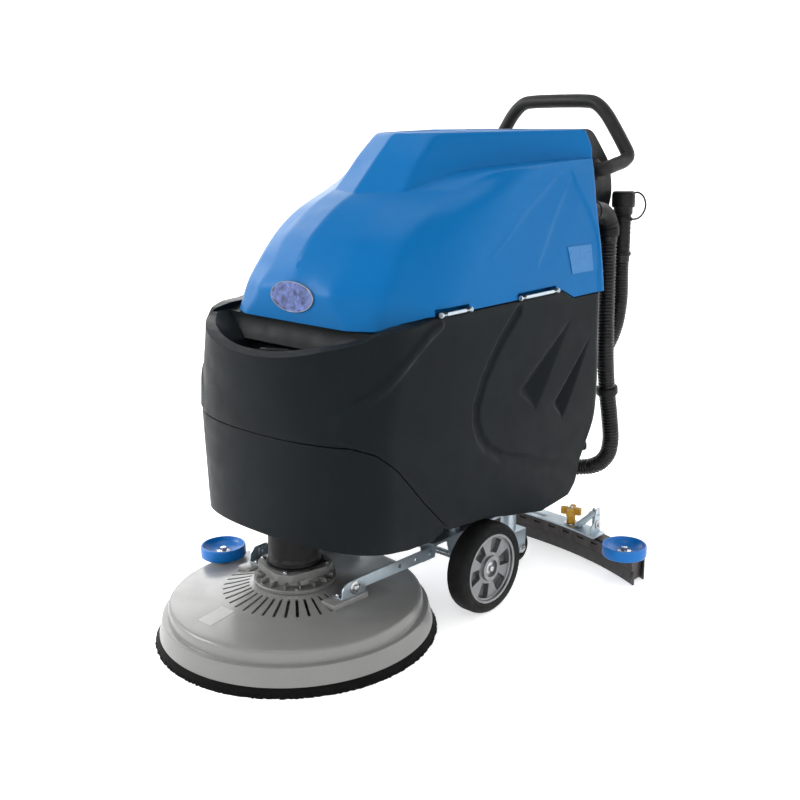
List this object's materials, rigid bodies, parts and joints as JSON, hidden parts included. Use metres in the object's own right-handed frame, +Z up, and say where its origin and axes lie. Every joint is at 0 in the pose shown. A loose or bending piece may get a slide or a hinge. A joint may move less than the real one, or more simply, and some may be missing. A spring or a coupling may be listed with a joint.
{
  "type": "floor scrubber machine",
  "caption": "Walk-behind floor scrubber with a disc-brush deck, tipping recovery tank over a solution tank, battery bay, hoop handle, hoses and a curved lifting squeegee.",
  "frame": {"origin": "bottom centre of the machine's bounding box, on the floor", "axes": "+Z up, the machine's front faces -Y, its left side is +X"},
  "size_m": [0.874, 1.2104, 1.0784],
  "materials": {
    "blue_hood": "glossy rotomoulded polyethylene",
    "charcoal_tank": "satin rotomoulded polyethylene with a fine grain",
    "black_plastic": "satin black",
    "black_hose": "satin black corrugated",
    "grey_deck": "satin light grey",
    "cast_grey": "sand cast",
    "zinc_steel": "blue zinc plate",
    "aluminium_rim": "satin die cast",
    "tyre_rubber": "matte",
    "blade_rubber": "matte",
    "roller_blue": "semi-gloss",
    "knob_yellow": "satin",
    "bristle_black": "nylon bristle",
    "motor_black": "satin",
    "switch_grey": "satin",
    "battery_grey": "satin",
    "badge_silver": "printed film under gloss"
  },
  "bodies": {
    "chassis": {"solution_tank": "charcoal_tank", "front_shell": "charcoal_tank", "battery_left": "battery_grey", "battery_right": "battery_grey", "hinge_front": "zinc_steel", "hinge_rear": "zinc_steel", "console": "black_plastic", "vacuum_motor": "motor_black", "charge_display": "switch_grey", "handle_bar": "black_plastic", "squeegee_hose_upper": "black_hose", "drain_hose": "black_hose", "sump_hose": "black_hose", "sump_plug": "black_plastic", "vacuum_elbow": "black_plastic", "drain_neck": "black_plastic", "chassis_frame": "zinc_steel", "axle": "zinc_steel"},
    "hood": {"recovery_tank": "blue_hood", "front_badge": "badge_silver"},
    "tank_lid": {"tank_lid": "blue_hood"},
    "deck_lift": {"deck_arm_left": "zinc_steel", "deck_arm_right": "zinc_steel"},
    "deck": {"deck_cover": "grey_deck", "bristle_skirt": "bristle_black", "gearbox": "cast_grey", "brush_motor": "motor_black", "deck_bracket_left": "zinc_steel", "deck_bracket_right": "zinc_steel"},
    "brush": {"scrub_brush": "bristle_black"},
    "deck_roller": {"deck_bumper": "roller_blue"},
    "wheel_left": {"rim_left": "aluminium_rim", "tyre_left": "tyre_rubber"},
    "wheel_right": {"rim_right": "aluminium_rim", "tyre_right": "tyre_rubber"},
    "caster_left": {"caster_fork_left": "zinc_steel"},
    "caster_right": {"caster_fork_right": "zinc_steel"},
    "caster_wheel_left": {"caster_wheel_left": "tyre_rubber"},
    "caster_wheel_right": {"caster_wheel_right": "tyre_rubber"},
    "squeegee_swing": {"squeegee_swivel": "zinc_steel", "squeegee_hose_lower": "black_hose", "hose_clip": "black_plastic"},
    "squeegee": {"squeegee_casting": "cast_grey", "front_blade": "blade_rubber", "rear_blade": "blade_rubber", "squeegee_inlet": "black_plastic", "squeegee_bracket": "zinc_steel"},
    "knob_left": {"squeegee_knob_left": "knob_yellow"},
    "knob_right": {"squeegee_knob_right": "knob_yellow"},
    "roller_left": {"bumper_left": "roller_blue"},
    "roller_right": {"bumper_right": "roller_blue"},
    "squeegee_lever": {"squeegee_lever": "black_plastic"},
    "deck_lever": {"deck_lever": "black_plastic"},
    "fill_cap": {"fill_cap": "black_plastic"},
    "drain_cap": {"drain_cap": "black_plastic"},
    "brush_switch": {"brush_switch": "switch_grey"},
    "vacuum_switch": {"vacuum_switch": "switch_grey"},
    "key_switch": {"key_switch": "zinc_steel"},
    "water_dial": {"water_dial": "black_plastic"}
  },
  "joints": [
    {"name": "hood_tip", "type": "hinge", "parent": "chassis", "child": "hood", "pos_m": [0.268, -0.31125, 0.667], "axis": [0, 1, 0], "range_deg": [0, 70]},
    {"name": "lid_open", "type": "hinge", "parent": "hood", "child": "tank_lid", "pos_m": [0, 0.34375, 1], "axis": [-1, 0, 0], "range_deg": [0, 95]},
    {"name": "deck_raise", "type": "hinge", "parent": "chassis", "child": "deck_lift", "pos_m": [0, -0.04925, 0.12], "axis": [-1, 0, 0], "range_deg": [0, 8.4]},
    {"name": "deck_level", "type": "hinge", "parent": "deck_lift", "child": "deck", "pos_m": [0, -0.28125, 0.124], "axis": [-1, 0, 0], "range_deg": [-8.4, 0]},
    {"name": "brush_spin", "type": "hinge", "parent": "deck", "child": "brush", "pos_m": [0, -0.31125, 0], "axis": [0, 0, 1], "continuous": true},
    {"name": "deck_roller_spin", "type": "hinge", "parent": "deck", "child": "deck_roller", "pos_m": [-0.252, -0.30325, 0.0885], "axis": [0, 0, 1], "continuous": true},
    {"name": "wheel_left_roll", "type": "hinge", "parent": "chassis", "child": "wheel_left", "pos_m": [0.264, 0.01375, 0.1], "axis": [1, 0, 0], "continuous": true},
    {"name": "wheel_right_roll", "type": "hinge", "parent": "chassis", "child": "wheel_right", "pos_m": [-0.264, 0.01375, 0.1], "axis": [1, 0, 0], "continuous": true},
    {"name": "caster_left_swivel", "type": "hinge", "parent": "chassis", "child": "caster_left", "pos_m": [0.13, 0.23875, 0.15], "axis": [0, 0, 1], "continuous": true},
    {"name": "caster_right_swivel", "type": "hinge", "parent": "chassis", "child": "caster_right", "pos_m": [-0.13, 0.23875, 0.15], "axis": [0, 0, 1], "continuous": true},
    {"name": "caster_left_roll", "type": "hinge", "parent": "caster_left", "child": "caster_wheel_left", "pos_m": [0.13, 0.26675, 0.0375], "axis": [1, 0, 0], "continuous": true},
    {"name": "caster_right_roll", "type": "hinge", "parent": "caster_right", "child": "caster_wheel_right", "pos_m": [-0.13, 0.26675, 0.0375], "axis": [1, 0, 0], "continuous": true},
    {"name": "squeegee_turn", "type": "hinge", "parent": "chassis", "child": "squeegee_swing", "pos_m": [0, 0.18875, 0.128], "axis": [0, 0, 1], "range_deg": [-8, 8], "deforming": ["squeegee_hose_upper"]},
    {"name": "squeegee_raise", "type": "hinge", "parent": "squeegee_swing", "child": "squeegee", "pos_m": [0, 0.22375, 0.128], "axis": [1, 0, 0], "range_deg": [0, 14], "deforming": ["squeegee_hose_lower"]},
    {"name": "knob_left_turn", "type": "hinge", "parent": "squeegee", "child": "knob_left", "pos_m": [0.19, 0.41075, 0.061], "axis": [0, 0, 1], "continuous": true},
    {"name": "knob_right_turn", "type": "hinge", "parent": "squeegee", "child": "knob_right", "pos_m": [-0.19, 0.41075, 0.061], "axis": [0, 0, 1], "continuous": true},
    {"name": "bumper_left_spin", "type": "hinge", "parent": "squeegee", "child": "roller_left", "pos_m": [0.387, 0.33375, 0.0648], "axis": [0, 0, 1], "continuous": true},
    {"name": "bumper_right_spin", "type": "hinge", "parent": "squeegee", "child": "roller_right", "pos_m": [-0.387, 0.33375, 0.0648], "axis": [0, 0, 1], "continuous": true},
    {"name": "squeegee_lever_pull", "type": "hinge", "parent": "chassis", "child": "squeegee_lever", "pos_m": [-0.11, 0.50075, 0.66], "axis": [1, 0, 0], "range_deg": [0, 56]},
    {"name": "deck_lever_pull", "type": "hinge", "parent": "chassis", "child": "deck_lever", "pos_m": [0.01, 0.50075, 0.66], "axis": [1, 0, 0], "range_deg": [0, 42]},
    {"name": "fill_cap_turn", "type": "hinge", "parent": "chassis", "child": "fill_cap", "pos_m": [0, -0.34125, 0.575], "axis": [0, 0, 1], "continuous": true},
    {"name": "drain_cap_turn", "type": "hinge", "parent": "chassis", "child": "drain_cap", "pos_m": [0.201, 0.57375, 0.818], "axis": [0, 0, 1], "continuous": true},
    {"name": "brush_switch_press", "type": "slide", "parent": "chassis", "child": "brush_switch", "axis": [0, -0.7071, -0.7071], "range_m": [0, 0.003], "stiffness_N_per_m": 400},
    {"name": "vacuum_switch_press", "type": "slide", "parent": "chassis", "child": "vacuum_switch", "axis": [0, -0.7071, -0.7071], "range_m": [0, 0.003], "stiffness_N_per_m": 400},
    {"name": "key_turn", "type": "hinge", "parent": "chassis", "child": "key_switch", "pos_m": [-0.11, 0.51323, 0.96252], "axis": [0, 0.7071, 0.7071], "range_deg": [0, 90]},
    {"name": "water_dial_turn", "type": "hinge", "parent": "chassis", "child": "water_dial", "pos_m": [0.1, 0.51323, 0.96252], "axis": [0, 0.7071, 0.7071], "range_deg": [0, 270]}
  ],
  "couplings": [
    {"joint": "deck_level", "follows": "deck_raise", "ratio": -1},
    {"joint": "deck_lever_pull", "follows": "deck_raise", "ratio": 5},
    {"joint": "squeegee_lever_pull", "follows": "squeegee_raise", "ratio": 4}
  ]
}
